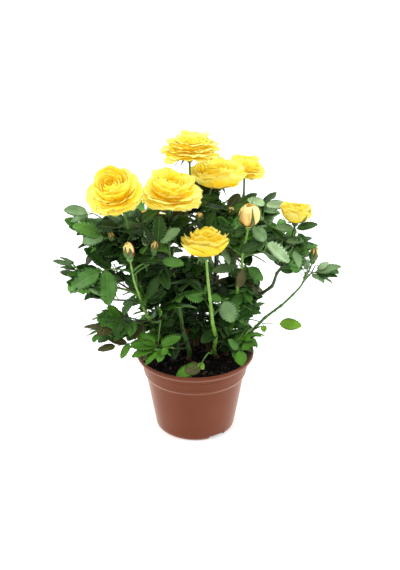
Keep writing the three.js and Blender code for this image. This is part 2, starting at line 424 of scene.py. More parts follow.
# Radius and height up the outside: the base ring, the wall, the step out to the collar, and the lip.
BASE_RING = [(30, 0.9), (33, 0.0), (36.2, 0.0), (38.2, 0.7), (39.6, 2.2), (40.5, 4.6), (41.0, 8.0)]
WALL_FOOT, WALL_HEAD = (40.6, 5.5), (50.4, 60.5)
COLLAR_STEP = [(50.25, 59.6), (50.55, 60.6), (51.3, 61.5), (52.1, 62.3), (52.6, 63.4)]
COLLAR_FOOT, COLLAR_HEAD = (52.6, 63.5), (55.4, 77.5)
LIP = [(55.5, 77.6), (56.2, 78.6), (57.6, 79.9), (58.9, 80.7), (59.7, 81.2), (60.0, 81.9), (60.0, 83.6),
       (59.8, 84.4), (59.2, 84.9), (58.6, 85.0), (58.0, 84.7), (57.6, 84.0), (56.6, 81.6), (55.4, 79.4),
       (54.2, 77.4)]
FLOOR_EDGE = [(38.2, 2.6), (36.5, 1.5), (30, POT_WALL + 0.9)]
GROOVE = {"depth": 0.32, "pitch": 2.9, "first": 66.2, "low": 65.6, "high": 76.0}
SLOT = {"half_width": 9.5, "height": 4.5, "corner": 1.2, "radius": 40.6, "reach": 9, "first": 35}


def between(foot, head, z, inset=0.0):
    return np.interp(z, [foot[1], head[1]], [foot[0], head[0]]) - inset


def groove_depth(z):
    if not GROOVE["low"] < z < GROOVE["high"]:
        return 0.0
    return GROOVE["depth"] * max(0.0, math.cos(TURN * (z - GROOVE["first"]) / GROOVE["pitch"])) ** 6


def make_pot():
    """The pot as a fine turned shell, with a rounded lip, ring grooves and drain slots."""
    outside = list(BASE_RING)
    outside += [(between(WALL_FOOT, WALL_HEAD, z), z) for z in np.linspace(12, 57, 24)]
    outside += COLLAR_STEP
    outside += [(between(COLLAR_FOOT, COLLAR_HEAD, z) - groove_depth(z), z)
                for z in np.linspace(65, 76.5, 30)]
    inside = [(between(COLLAR_FOOT, COLLAR_HEAD, z, POT_WALL), z) for z in np.linspace(74, 64, 5)]
    inside += [(49.2, 60.2)]
    inside += [(between(WALL_FOOT, WALL_HEAD, z, POT_WALL), z) for z in np.linspace(54, 6, 8)]
    profile = np.array(outside + LIP + inside + FLOOR_EDGE)
    sides = POT_SIDES
    round_ = circle(sides)
    angle = np.arange(sides) * TURN / sides
    wobble = 1 + 0.0009 * np.sin(3 * angle + 0.6)[None] * (profile[:, 1:] / POT_TOP)
    radius = np.minimum(profile[:, :1] * wobble, RIM)
    height = np.clip(profile[:, 1:], 0, POT_TOP) * np.ones(sides)
    rings = np.stack([radius * round_[:, 0], radius * round_[:, 1], height], -1)
    pile = Pile()
    add_turned(pile, rings, [(0, 0, BASE_RING[0][1]), (0, 0, FLOOR_EDGE[-1][1])])
    pot = pile.mesh("pot_shell", [POT_MATERIAL])
    cutters = [slot_cutter(math.radians(SLOT["first"] + 120 * i)) for i in range(3)]
    for cutter in cutters:
        cut = pot.modifiers.new("slot", "BOOLEAN")
        cut.operation, cut.solver, cut.object = "DIFFERENCE", "EXACT", cutter
    graph = bpy.context.evaluated_depsgraph_get()
    graph.update()
    mesh = bpy.data.meshes.new_from_object(pot.evaluated_get(graph))
    pot.modifiers.clear()
    pot.data = mesh
    for cutter in cutters:
        bpy.data.objects.remove(cutter)
    mesh.polygons.foreach_set("use_smooth", np.full(len(mesh.polygons), True))
    mesh.set_sharp_from_angle(angle=math.radians(38))
    return pot


def slot_cutter(azimuth):
    """A block with two cut corners that goes through the foot of the pot's wall."""
    w, h, c = SLOT["half_width"], SLOT["height"], SLOT["corner"]
    section = [(-w, -2), (w, -2), (w, h - c), (w - c, h), (c - w, h), (-w, h - c)]
    n = len(section)
    points = [(x, y, z) for y in (-SLOT["radius"] - SLOT["reach"], -SLOT["radius"] + SLOT["reach"])
              for x, z in section]
    faces = [list(range(n)), list(range(2 * n - 1, n - 1, -1))]
    faces += [[(s + 1) % n, s, n + s, n + (s + 1) % n] for s in range(n)]
    mesh = bpy.data.meshes.new("slot")
    mesh.from_pydata((spin(np.array(points, float), azimuth) * MM).tolist(), [], faces)
    return linked("slot", mesh)


# ------------------------------------------------------------------ soil
SOIL_LO, SOIL_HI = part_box("soil")
SOIL_TOP = SOIL_HI.z / MM
SOIL_EDGE = (SOIL_HI.x - SOIL_LO.x) / 2 / MM
SOIL_FEET = [line[0] for line, _ in CANES.values()]
# Radius and height of the soil's underside and side, just inside the pot.
SOIL_SIDE = [(30, 2.2), (37.5, 2.2), (38.9, 5.5), (48.7, 60), (50.9, 64), (52.9, 74)]


def lumpy(x, y, seed, size):
    return noise.noise(Vector((x / size + seed, y / size - seed, 0.37 * seed)))


def soil_height(x, y):
    z = SOIL_TOP - 1.6 * (math.hypot(x, y) / SOIL_EDGE) ** 4
    z += 1.1 * lumpy(x, y, 3, 9) + 0.75 * lumpy(x, y, 8, 3.2)
    return z + sum(1.5 * math.exp(-((x - f[0]) ** 2 + (y - f[1]) ** 2) / 30) for f in SOIL_FEET)


SOIL_SIDES, SOIL_RINGS = 168, 44
CRUMBS, CRUMB_SIDES = 1100, 6


def make_soil():
    """The soil's body with a lumpy top, and the crumbs and flakes of bark that lie on it."""
    round_ = circle(SOIL_SIDES)
    rows = [[(r * c, r * s, z) for c, s in round_] for r, z in SOIL_SIDE]
    for i in range(SOIL_RINGS):
        r = (SOIL_EDGE - 0.1) * (1 - i / SOIL_RINGS) + 0.3
        row = []
        for c, s in round_:
            z = soil_height(r * c, r * s) + 0.5 * lumpy(r * c, r * s, 5, 1.4)
            row.append((r * c, r * s, min(z, SOIL_TOP + 3.0)))
        rows.append(row)
    pile = Pile()
    add_turned(pile, np.array(rows), [(0, 0, SOIL_SIDE[0][1]), (0, 0, np.mean(rows[-1], axis=0)[2])])
    return pile.mesh("soil_surface", SOIL[:1]), make_crumbs()


def make_crumbs():
    rng = np.random.default_rng(11)
    crumbs = Pile()
    for _ in range(CRUMBS):
        r, a = SOIL_EDGE * math.sqrt(rng.random()) * 0.985, rng.random() * TURN
        size = 0.45 + 1.5 * rng.random() ** 3
        x, y = r * math.cos(a), r * math.sin(a)
        stretch = 1 + 1.2 * rng.random() ** 2
        axes = frame_of(rng.normal(size=3))
        middle = vec(x, y, soil_height(x, y) + 0.2 * size)
        rings = []
        for level, width in ((-0.55, 0.75), (0.05, 1.0), (0.6, 0.65)):
            w = width * rng.uniform(0.75, 1.15, (CRUMB_SIDES, 1)) * circle(CRUMB_SIDES)
            rings.append(np.concatenate([np.full((CRUMB_SIDES, 1), level * stretch), w], 1))
        ends = np.array([(-0.9 * stretch, 0, 0), (0.95 * stretch, 0, 0)])
        add_turned(crumbs, np.array(rings) * size @ axes + middle, ends * size @ axes + middle,
                   rng.choice([0, 0, 0, 0, 1, 1, 2]))
    return crumbs.mesh("soil_crumbs", SOIL, flat=True)


# ------------------------------------------------------------------ canes
CANE_TINTS = {"left_bud": "bright", "front": "bright", "large_bud": "bright", "right": "dark",
              "upper_right": "dark", "back": "dark", "back_left": "dark"}
CANE_SHARE = 0.78       # of the CAD radius, as the bark's own ridges and nodes stand out from it
NODE_PITCH = (16, 23)
CANE_RINGS, CANE_SIDES = 96, 12


def make_cane(key):
    """Bark over one cane: a bend and a swelling at each node, fine ridges, and prickles."""
    rng = np.random.default_rng(100 + sorted(CANES).index(key))
    line, radii = CANES[key]
    count, sides = CANE_RINGS, CANE_SIDES
    path = resample(line, count)
    length = np.linalg.norm(np.diff(path, axis=0), axis=1).sum()
    t = np.linspace(0, 1, count)
    radius = CANE_SHARE * np.interp(t, np.linspace(0, 1, len(radii)), radii)
    foot = 1 + 0.35 * np.clip(1 - t * length / 9, 0, 1)
    nodes = [14.0]
    while nodes[-1] < length - 12:
        nodes.append(nodes[-1] + rng.uniform(*NODE_PITCH))
    swell = sum(0.30 * np.exp(-((t * length - at) / 1.7) ** 2) for at in nodes)
    corners = np.concatenate([[0], nodes[:-1], [length]]) / length
    bends = rng.normal(size=(len(corners), 3)) * 1.5
    bends[[0, -1]] = 0
    path = path + smooth_path(np.stack([np.interp(t, corners, bends[:, k]) for k in range(3)], 1), 3)
    path[0] = line[0] - vec(0, 0, 1.2)
    phase = rng.random(3) * 6
    angle = np.arange(sides) * TURN / sides
    relief = (1 + 0.045 * np.sin(5 * angle + phase[0] + 3 * t[:, None])
              + 0.025 * np.sin(7 * angle + phase[1])
              + 0.03 * np.sin(60 * t[:, None] + 2 * angle + phase[2]))
    pile = Pile()
    green = STEM_NAMES.index(CANE_TINTS.get(key, "green"))
    brown = STEM_NAMES.index("brown")
    rows = np.where(t[:-1] * length < 6 + 3 * rng.random(), brown, green)
    tints = np.concatenate([np.repeat(rows, sides), np.full(2 * sides, green)])
    tube(pile, path, radius * foot * (1 + swell), sides, tints, relief)
    tangent, a, b = frames_along(path)
    for _ in range(int(length / 14)):
        i = rng.integers(8, count - 10)
        turn = rng.random() * TURN
        out = math.cos(turn) * a[i] + math.sin(turn) * b[i]
        root = path[i] + out * radius[i] * 0.7
        size = 1.6 + 1.6 * rng.random()
        tip = root + out * size - tangent[i] * size * 0.55
        spike = np.array([root, root + (tip - root) * 0.45 + tangent[i] * 0.15, tip])
        tube(pile, spike, [0.75, 0.38, 0.06], 6, STEM_NAMES.index(pick({"red": 1, "brown": 1}, rng)))
    return pile.mesh("bark_" + key, STEM), path


# ------------------------------------------------------------------ petals, sepals and hips
RECEPTACLE = (2.4, 5.0)      # radius and height of the place that petals leave from
BROAD = [0.16, 0.42, 0.70, 0.90, 1.0, 1.0, 0.95, 0.84]
POINTED = [0.8, 1.0, 0.95, 0.8, 0.62, 0.46, 0.3, 0.2, 0.12, 0.03]


def profile_curve(start, end, leave, arrive, hold=0.42):
    """Radius and height along a blade that leaves its base and reaches its rim at given angles."""
    start, end = np.array(start, float), np.array(end, float)
    span = np.linalg.norm(end - start) * hold
    a, b = math.radians(leave), math.radians(arrive)
    first = start + span * np.array([math.cos(a), math.sin(a)])
    last = end - span * np.array([math.cos(b), math.sin(b)])
    return resample(bezier(start, first, last, end, 40), 60)


def blade_grid(profile, half_width, shape, rng, rows=12, columns=11, trim=0.16, point=0.0, ruffle=1.0,
               swirl=0.0):
    """A petal or sepal about the z axis, at azimuth 0: its points, and how far along it each lies.
    Shape is the share of the width at each level. Trim rounds its end and point draws it out."""
    u = np.linspace(-1, 1, columns)
    a, b, c = rng.random(3) * TURN
    jag = 0.018 * ruffle * (np.sin(7 * u + b) + 0.7 * np.sin(13 * u + c))
    reach = 1 - trim * np.abs(u) ** 2.6 - point * np.abs(u) + jag
    reach /= reach.max()
    t = np.linspace(0, 1, rows)[:, None] * reach
    fine = np.linspace(0, 1, len(profile))
    radius, height = np.interp(t, fine, profile[:, 0]), np.interp(t, fine, profile[:, 1])
    step = np.gradient(profile, axis=0)
    slope = np.interp(t, fine, np.unwrap(np.arctan2(step[:, 1], step[:, 0])))
    width = half_width * np.interp(t, np.linspace(0, 1, len(shape)), shape)
    turn = np.clip(width / np.maximum(radius, 2.0), 0, 1.5) * u
    k = 1.0 + half_width / 13
    wave = ruffle * t ** 2.5 * (0.8 * np.sin(3.2 * k * u + a) + 0.45 * np.sin(6.1 * k * u + b)
                                + 0.3 * np.sin(6 * t + 3 * u + c))
    radius = radius - np.sin(slope) * wave + swirl * u * t
    height = height + np.cos(slope) * wave
    return np.stack([radius * np.cos(turn), radius * np.sin(turn), height], -1), t


def add_blade(pile, grid, thickness, front, back):
    """A thin closed blade from a grid of points: its middle is thick and its rim comes to an edge."""
    rows, columns = grid.shape[:2]
    normal = unit(np.cross(np.gradient(grid, axis=0), np.gradient(grid, axis=1)))
    inner = np.ones((rows, columns))
    inner[-1], inner[:, 0], inner[:, -1] = 0, 0, 0
    back_points = grid + normal * thickness * inner[..., None]
    verts = np.concatenate([grid.reshape(-1, 3), back_points.reshape(-1, 3)])
    index = np.arange(rows * columns).reshape(rows, columns)
    under = index + rows * columns
    # The rim's points are shared by both faces.
    under[-1], under[:, 0], under[:, -1] = index[-1], index[:, 0], index[:, -1]

    def faces(i):
        return np.stack([i[:-1, :-1], i[:-1, 1:], i[1:, 1:], i[1:, :-1]], -1).reshape(-1, 4)

    end = np.stack([index[0, :-1], under[0, :-1], under[0, 1:], index[0, 1:]], 1)[1:-1]
    corners = [[index[0, 0], under[0, 1], index[0, 1], index[0, 1]],
               [index[0, -2], under[0, -2], index[0, -1], index[0, -1]]]
    quads = np.concatenate([faces(index), faces(under)[:, ::-1], end, corners])
    used = np.unique(quads)
    remap = np.full(len(verts), -1)
    remap[used] = np.arange(len(used))
    cells = (rows - 1, columns - 1)
    tail = np.full(len(end) + 2, np.broadcast_to(back, cells)[0, 0])
    tints = [np.broadcast_to(front, cells).reshape(-1), np.broadcast_to(back, cells).reshape(-1), tail]
    pile.add(verts[used], remap[quads], np.concatenate(tints))


def centres(a):
    return (a[:-1, :-1] + a[1:, :-1] + a[:-1, 1:] + a[1:, 1:]) / 4


def head_axes(axis):
    """Rows x, y and z of a head's own frame, with z up its axis and x nearly the row's x."""
    axes = frame_of(axis, up=(0.2, 1.0, 0.1))
    return axes[[1, 2, 0]]


# Rings of petals from the outside in. Rim sizes are shares of the head's radius and height.
# (petals, rim out, rim up, leaving angle, arriving angle, half width, ruffle, point, gold)
RINGS = {
    "full": [
        (6, 0.95, 0.25, -2, -30, 0.66, 1.5, 0.07, 0.00),
        (6, 1.00, 0.39, 8, -24, 0.66, 1.5, 0.07, 0.02),
        (6, 0.97, 0.52, 20, -20, 0.62, 1.4, 0.07, 0.04),
        (6, 0.89, 0.67, 34, -10, 0.58, 1.3, 0.07, 0.08),
        (6, 0.75, 0.80, 48, 4, 0.51, 1.2, 0.06, 0.13),
        (6, 0.58, 0.91, 58, 22, 0.42, 1.0, 0.06, 0.20),
        (6, 0.40, 0.97, 66, 48, 0.32, 0.8, 0.05, 0.30),
        (5, 0.24, 0.98, 74, 74, 0.23, 0.6, 0.04, 0.40),
        (4, 0.10, 0.96, 80, 92, 0.15, 0.4, 0.03, 0.50),
    ],
    "open": [
        (5, 0.97, 0.24, -2, -24, 0.88, 1.6, 0.02, 0.00),
        (5, 1.00, 0.38, 8, -16, 0.88, 1.6, 0.02, 0.03),
        (5, 0.94, 0.53, 18, -2, 0.82, 1.4, 0.02, 0.07),
        (5, 0.82, 0.76, 24, 36, 0.74, 1.1, 0.02, 0.14),
        (5, 0.66, 0.93, 30, 70, 0.62, 0.9, 0.02, 0.24),
        (5, 0.51, 0.94, 40, 86, 0.50, 0.8, 0.03, 0.36),
        (5, 0.37, 0.90, 50, 96, 0.38, 0.6, 0.03, 0.50),
        (5, 0.23, 0.86, 62, 102, 0.28, 0.4, 0.03, 0.62),
        (4, 0.10, 0.83, 76, 104, 0.20, 0.3, 0.03, 0.74),
    ],
    "cup": [
        (4, 0.90, 0.64, -12, 76, 1.00, 0.5, 0.10, 0.05),
        (5, 0.97, 0.72, -8, 62, 0.92, 0.9, 0.18, 0.06),
        (6, 1.00, 0.80, 2, 44, 0.76, 1.1, 0.22, 0.10),
        (6, 0.86, 0.91, 12, 56, 0.64, 1.2, 0.20, 0.17),
        (6, 0.70, 0.97, 24, 68, 0.54, 1.2, 0.16, 0.26),
        (6, 0.54, 1.00, 36, 78, 0.44, 1.0, 0.12, 0.38),
        (6, 0.39, 1.00, 46, 88, 0.34, 0.8, 0.08, 0.50),
        (6, 0.25, 0.98, 58, 96, 0.26, 0.6, 0.05, 0.60),
        (4, 0.12, 0.95, 70, 100, 0.20, 0.4, 0.03, 0.70),
    ],
    "bowl": [
        (3, 1.00, 0.48, -6, 2, 0.72, 1.4, 0.03, 0.02),
        (4, 0.90, 0.76, -14, 72, 0.96, 0.6, 0.03, 0.04),
        (5, 0.94, 0.90, -8, 66, 0.88, 1.1, 0.04, 0.06),
        (5, 0.84, 0.97, 4, 72, 0.76, 1.2, 0.05, 0.14),
        (5, 0.69, 1.00, 16, 80, 0.62, 1.1, 0.05, 0.25),
        (6, 0.54, 0.99, 28, 88, 0.46, 0.9, 0.05, 0.38),
        (6, 0.40, 0.96, 40, 94, 0.36, 0.8, 0.05, 0.50),
        (6, 0.26, 0.93, 54, 100, 0.27, 0.6, 0.04, 0.62),
        (4, 0.13, 0.90, 68, 103, 0.20, 0.4, 0.03, 0.72),
    ],
    "goblet": [
        (3, 0.92, 0.84, -4, 80, 1.10, 0.6, 0.08, 0.10),
        (4, 1.00, 0.97, 2, 68, 0.95, 1.0, 0.12, 0.12),
        (4, 0.84, 0.96, 14, 80, 0.80, 0.9, 0.10, 0.26),
        (5, 0.64, 0.96, 28, 90, 0.60, 0.7, 0.06, 0.42),
        (5, 0.44, 0.93, 42, 98, 0.44, 0.5, 0.04, 0.56),
        (4, 0.24, 0.90, 60, 102, 0.32, 0.3, 0.03, 0.70),
    ],
}
FORMS = {"front": "cup", "left": "open", "middle": "open", "top": "full", "upper_right": "bowl",
         "back_right": "open", "right": "goblet", "back_left": "open", "back": "full"}
# Blooms whose petals turn orange low down outside, and how much: partly the petals' own warmer base, partly
# painted shade and painted light through the petals under the blooms.
APRICOT_AND_UNDER_SHADE = {"cup": 0.85, "bowl": 0.55, "open": 0.30, "goblet": 0.35, "full": 0.0}
# How far the petals stand out past a head's frame, across and up.
SPREAD = {"cup": (1.03, 1.06), "bowl": (1.06, 1.02), "open": (1.09, 1.05), "goblet": (1.0, 1.0),
          "full": (1.03, 1.0)}
# How much paler (or, below 0, more golden) the petals of a form are.
TONE = {"cup": -0.06, "bowl": 0.03, "open": 0.0, "goblet": -0.02, "full": 0.03}
BLOOMS_IN_PAINTED_SHADE = ("front", "right")      # the blooms whose petals take the copy darkened to 0.8, as painted shade
FALLING = {"top": -2.35}     # the azimuth of a petal that hangs down


def petal_tints(t, tilt, gold, apricot_and_shade):
    """Tints of a petal's inner and outer face: golden in the depths and pale towards the rim."""
    level = centres(t)
    inner = 0.62 + 0.42 * level - 0.50 * gold + tilt
    # The outer face turns orange towards its base: partly own colour, partly painted shade under the bloom.
    outer = 0.60 + 0.40 * level - 0.30 * gold + tilt - apricot_and_shade * np.clip(1.05 - 1.15 * level, 0, 1)

    def steps(value):
        return np.clip(np.round(value * (PETAL_STEPS - 1)), 0, PETAL_STEPS - 1).astype(int)

    return steps(inner), steps(outer)


def make_bloom(key):
    base, axis, radius, height = HEAD_FRAMES[key]
    rng = np.random.default_rng(300 + sorted(HEADS).index(key))
    axes = head_axes(axis)
    form = FORMS[key]
    petals = []
    for ring in RINGS[form]:
        count, out, up, leave, arrive, wide, ruffle, point, gold = ring
        start = rng.random() * TURN
        for i in range(count):
            end = (radius * out * (1 + 0.06 * rng.normal()), height * (up + 0.045 * rng.normal()))
            line = profile_curve(RECEPTACLE, end, leave + 5 * rng.normal(), arrive + 8 * rng.normal())
            grid, t = blade_grid(line, radius * wide * rng.uniform(0.86, 1.12), BROAD, rng, point=point,
                                 columns=15 if wide > 0.5 else 9, ruffle=ruffle * radius / 31,
                                 swirl=1.1 * min(1, out * 1.6))
            petals.append((grid, t, gold, start + (i + 0.22 * rng.normal()) * TURN / count))
    if key in FALLING:
        line = profile_curve(RECEPTACLE, (radius * 0.90, -1.0), -10, -75)
        grid, t = blade_grid(line, radius * 0.30, BROAD, rng, ruffle=1.4)
        petals.append((grid, t, 0.0, FALLING[key]))
    reach = max(np.hypot(g[..., 0], g[..., 1]).max() for g, *_ in petals)
    top = max(g[..., 2].max() for g, *_ in petals)
    wide, tall = SPREAD[form]
    scale = vec(wide * radius / reach, wide * radius / reach, tall * height / top)
    pile = Pile()
    for grid, t, gold, azimuth in petals:
        points = spin(grid * scale, azimuth) @ axes + base
        inner, outer = petal_tints(t, TONE[form] + 0.07 * rng.normal(), gold, APRICOT_AND_UNDER_SHADE[form])
        add_blade(pile, points[:, ::-1], 0.28, inner[:, ::-1], outer[:, ::-1])
    # Blooms in the shade of others take the darkened copy: painted shade.
    return pile.mesh("petals_" + key, PETAL_IN_PAINTED_SHADE if key in BLOOMS_IN_PAINTED_SHADE else PETAL)


def add_hip(pile, base, axes, radius, height, tint):
    profile = np.array([(0.55, 0.0), (0.85, 0.2), (1.0, 0.48), (0.95, 0.75), (0.8, 1.0)])
    tube(pile, base + profile[:, 1:] * height * axes[2], profile[:, 0] * radius, 12, tint)


def add_sepal(pile, base, axes, line, half_width, azimuth, rim_tint, rng, rows=10, ruffle=0.3):
    """A long pointed sepal along a line from the hip's shoulder, its rim of another tint."""
    grid, t = blade_grid(line, half_width, POINTED, rng, rows=rows, columns=5, ruffle=ruffle)
    points = spin(grid, azimuth) @ axes + base
    edge = np.abs(centres(np.linspace(-1, 1, 5) * np.ones_like(t))) > 0.55
    tints = np.where(edge, rim_tint, GREEN)
    add_blade(pile, points[:, ::-1], 0.35, tints, tints)


def make_calyx(key):
    """The hip and the five sepals of a head: folded back under a bloom, upright round a bud."""
    base, axis, radius, height = HEAD_FRAMES[key]
    rng = np.random.default_rng(500 + sorted(HEADS).index(key))
    axes = head_axes(axis)
    pile = Pile()
    if key in FORMS:
        add_hip(pile, base, axes, 3.4, 6.0, GREEN)
        for i in range(5):
            azimuth = i * TURN / 5 + 0.4 + rng.normal() * 0.12
            if FORMS[key] == "goblet":
                end = (radius * rng.uniform(0.85, 1.2), height * rng.uniform(0.6, 0.9))
                line, half_width = profile_curve((2.7, 4.8), end, 0, 70), 2.8
            else:
                end = (radius * rng.uniform(0.42, 0.62), rng.uniform(-7, 3))
                line, half_width = profile_curve((2.7, 5.0), end, 5, -50), 2.6
            add_sepal(pile, base, axes, line, half_width, azimuth, GREEN, rng)
    else:
        hip_tint = LIGHT if CANE_TINTS.get(key) == "bright" else GREEN
        add_bud_calyx(pile, base, axes, radius, height, rng, hip_tint)
    return pile.mesh("calyx_" + key, SEPAL)


def add_bud_calyx(pile, base, axes, radius, height, rng, hip_tint):
    """The hip of a bud, and sepals that hug it and reach past its tip."""
    tall = 4.0 + 0.18 * radius
    hip = min(3.3, 0.72 * radius)
    add_hip(pile, base, axes, hip, tall, hip_tint)
    for i in range(5):
        azimuth = i * TURN / 5 + 0.4 + rng.normal() * 0.12
        loose = 0.25 * radius if i % 2 and radius > 8 else 0.0
        end = (0.42 * radius + 2 * loose + rng.random(), height * rng.uniform(0.86, 1.06))
        line = sepal_round_bud((hip * 0.8, tall * 0.8), radius + 0.5 + loose, end, height)
        half_width = 0.9 * max(radius, 4) if radius < 8 else 3.6
        rim_tint = GREEN if i % 2 else RED
        add_sepal(pile, base, axes, line, half_width, azimuth, rim_tint, rng, rows=12, ruffle=0.25)


def sepal_round_bud(start, wide, end, height):
    """The radius and height of a sepal that goes out round a bud and in again to its tip."""
    points = np.array([start, (wide * 0.8, height * 0.28), (wide, height * 0.46),
                       (wide * 0.82, height * 0.72), end])
    return resample(smooth_path(resample(points, 30), 12), 60)


def add_bud_petals(pile, base, axes, radius, height, rng):
    """The rolled petals of a bud: each wraps most of the way round, and the inner ones stand higher."""
    count = 7
    for i in range(count):
        s = i / (count - 1)
        wide, top = radius * (1 - 0.35 * s), height - 1.2 * (1 - s)
        points = np.array([(0.3 * radius, 4.2), (wide * 0.86, 4.2 + 0.22 * top), (wide, 4.2 + 0.4 * top),
                           (wide * 0.86, 0.82 * top), (wide * 0.42, top)])
        line = resample(smooth_path(resample(points, 30), 8), 60)
        grid, t = blade_grid(line, radius * 1.5, BROAD, rng, ruffle=0.25, point=0.05, swirl=0.8)
        points = spin(grid, i * GOLDEN) @ axes + base
        last = CREAM_STEPS - 1
        tints = np.clip(np.round(last * (0.2 + 0.85 * centres(t))), 0, last).astype(int)
        add_blade(pile, points[:, ::-1], 0.25, tints, tints)


def make_bud(key):
    base, axis, radius, height = HEAD_FRAMES[key]
    rng = np.random.default_rng(700 + sorted(HEADS).index(key))
    pile = Pile()
    add_bud_petals(pile, base, head_axes(axis), radius * 0.96, height, rng)
    return pile.mesh("petals_" + key, CREAM)


# ------------------------------------------------------------------ leaves
LEAF_COLUMNS = [-1.0, -0.55, -0.02, 0.02, 0.55, 1.0]
LEAF_ROWS = 17
BLADE_DEEP, RIB_DEEP = vec(0, 0, 0.012), vec(0, 0, 0.022)   # thickness for a unit of length


def leaflet_template(width, fold, droop, wave, twist, seed):
    """A leaflet of unit length along x with a toothed margin: (points, quads, part of each quad)."""
    rng = np.random.default_rng(seed)
    x = np.linspace(0, 1, LEAF_ROWS)
    odd = np.arange(LEAF_ROWS) % 2 == 1
    outline = (x + 0.004) ** 0.55 * (1.002 - x) ** 0.72
    half = 0.5 * width * outline / outline.max()
    u = np.array(LEAF_COLUMNS)
    y = u * half[:, None]
    rib = np.interp(x, [0, 1], [0.016, 0.004]) * np.minimum(1, half / 0.02)
    y[:, 2], y[:, 3] = -rib, rib
    tooth = np.where(odd, 1.06, 0.955)
    tooth[[0, -1]] = 1
    y[:, [0, -1]] *= tooth[:, None]
    xs = np.repeat(x[:, None], len(u), 1)
    xs[1:-1, [0, -1]] += np.where(odd, 0.020, 0.0)[1:-1, None]
    a, b = rng.random(2) * TURN
    side = y / (0.5 * width)
    z = fold * np.abs(y) - 1.1 * fold * y ** 2 / width
    quilt = 0.011 * np.where(odd, 1, -1)[:, None] * np.array([0, 1, 0, 0, 1, 0])
    z += quilt * (half[:, None] > 0.05)
    z += wave * side ** 2 * (0.6 * np.sign(y) * np.sin(7.5 * xs + a) + 0.5 * np.sin(11 * xs + b))
    z -= droop * xs ** 1.8
    z[:, 2:4] -= 0.006
    z += twist * xs * y
    top = np.stack([xs, y, z], -1)
    middle = (top[:, 2] + top[:, 3]) / 2
    low = np.stack([top[:, 1] - BLADE_DEEP, middle - RIB_DEEP, top[:, 4] - BLADE_DEEP], 1)
    i = np.arange(LEAF_ROWS * len(u)).reshape(LEAF_ROWS, len(u))
    j = np.arange(LEAF_ROWS * 3).reshape(LEAF_ROWS, 3) + i.size
    under = np.stack([i[:, 0], j[:, 0], j[:, 1], j[:, 2], i[:, -1]], 1)

    def faces(k):
        return np.stack([k[:-1, :-1], k[1:, :-1], k[1:, 1:], k[:-1, 1:]], -1)

    top_quads, under_quads = faces(i), faces(under)[..., ::-1]
    top_part = np.full(top_quads.shape[:2], FACE)
    top_part[:, 2] = RIB
    ends = []
    for row in (0, -1):
        n, m = i[row], j[row]
        strip = [[n[0], n[1], m[0], m[0]], [n[1], n[2], m[1], m[0]], [n[2], n[3], m[1], m[1]],
                 [n[3], n[4], m[2], m[1]], [n[4], n[5], m[2], m[2]]]
        if row == -1:
            strip = [[q[1], q[0], q[2], q[2]] if q[2] == q[3] else [q[1], q[0], q[3], q[2]] for q in strip]
        ends += strip
    quads = np.concatenate([top_quads.reshape(-1, 4), under_quads.reshape(-1, 4), np.array(ends)])
    part = [top_part.reshape(-1), np.full(under_quads.size // 4, UNDER), np.full(len(ends), RIB)]
    return np.concatenate([top.reshape(-1, 3), low.reshape(-1, 3)]), quads, np.concatenate(part)


def make_templates(count):
    rng = np.random.default_rng(5)
    return [leaflet_template(rng.uniform(0.54, 0.66), rng.uniform(0.15, 0.55), rng.uniform(0.02, 0.24),
                             rng.uniform(0.01, 0.04), rng.uniform(-0.25, 0.25), 40 + i)
            for i in range(count)]


TEMPLATES = make_templates(14)
TEMPLATE_WIDTH = 0.6


def add_leaflet(pile, base, direction, up, length, tint, rng, width=1.0):
    verts, quads, part = TEMPLATES[int(rng.integers(len(TEMPLATES)))]
    points = verts * vec(length, length * width, length) @ frame_of(direction, up) + base
    pile.add(points, quads, 3 * TINT_NAMES.index(tint) + part)


def leaf_shape(base, direction, up, size, leaflets, droop, rng):
    """The rachis of a compound leaf, and (base, direction, length) of each of its leaflets."""
    stalk = size * (0.95 if leaflets > 1 else 0.5)
    d = unit(np.asarray(direction, float))
    side = unit(np.cross(up, d) + 1e-6)
    points, headings = [np.asarray(base, float)], [d]
    steps = 9
    for _ in range(steps):
        d = unit(turn_about(d, side, droop / steps))
        points.append(points[-1] + d * stalk / steps)
        headings.append(d)
    points, headings = np.array(points), np.array(headings)
    parts = [(points[-1], headings[-1], size * rng.uniform(0.94, 1.04))]
    for p in range((leaflets - 1) // 2):
        at = steps - 2 - int(round(p * steps * 0.36))
        length = size * (0.86 - 0.16 * p) * rng.uniform(0.93, 1.05)
        for s in (-1, 1):
            spread = math.radians(rng.uniform(50, 66))
            normal = unit(np.cross(headings[at], side))
            parts.append((points[at] + s * side * 0.3,
                          turn_about(headings[at], normal, s * spread), length))
    return points, parts


def upper_side(direction):
    """The upward direction that is square to a heading."""
    side = np.cross(vec(0, 0, 1), direction)
    if np.linalg.norm(side) < 0.15:
        side = vec(direction[1] + 0.1, -direction[0], 0.0)
    return unit(np.cross(direction, unit(side)))


def add_leaf(leaves, twigs, base, direction, size, tint, rng, leaflets, droop, stem):
    """A compound leaf: rachis, short stalks and leaflets. Returns where its leaflets lie."""
    up = upper_side(direction)
    points, parts = leaf_shape(base, direction, up, size, leaflets, droop, rng)
    stem = STEM_NAMES.index(stem)
    tube(twigs, points, np.linspace(0.62, 0.36, len(points)) * (size / 30) ** 0.5, 5, stem)
    for start, heading, length in parts:
        normal = unit(np.cross(heading, np.cross(up, heading)))
        tilt = turn_about(normal, heading, rng.normal() * 0.25)
        dip = turn_about(heading, np.cross(tilt, heading), rng.uniform(-0.10, 0.22))
        stalk = start + heading * length * 0.06
        tube(twigs, np.array([start, (start + stalk) / 2, stalk + dip * 0.6]), [0.38, 0.34, 0.3], 5, stem)
        add_leaflet(leaves, stalk, dip, tilt, length, tint, rng)
    return parts


# ------------------------------------------------------------------ how leaves find their places
def head_spaces():
    rows = [(base + axis * height * 0.60, axis, radius, height)
            for base, axis, radius, height in HEAD_FRAMES.values()]
    return [np.array([row[k] for row in rows]) for k in range(4)]


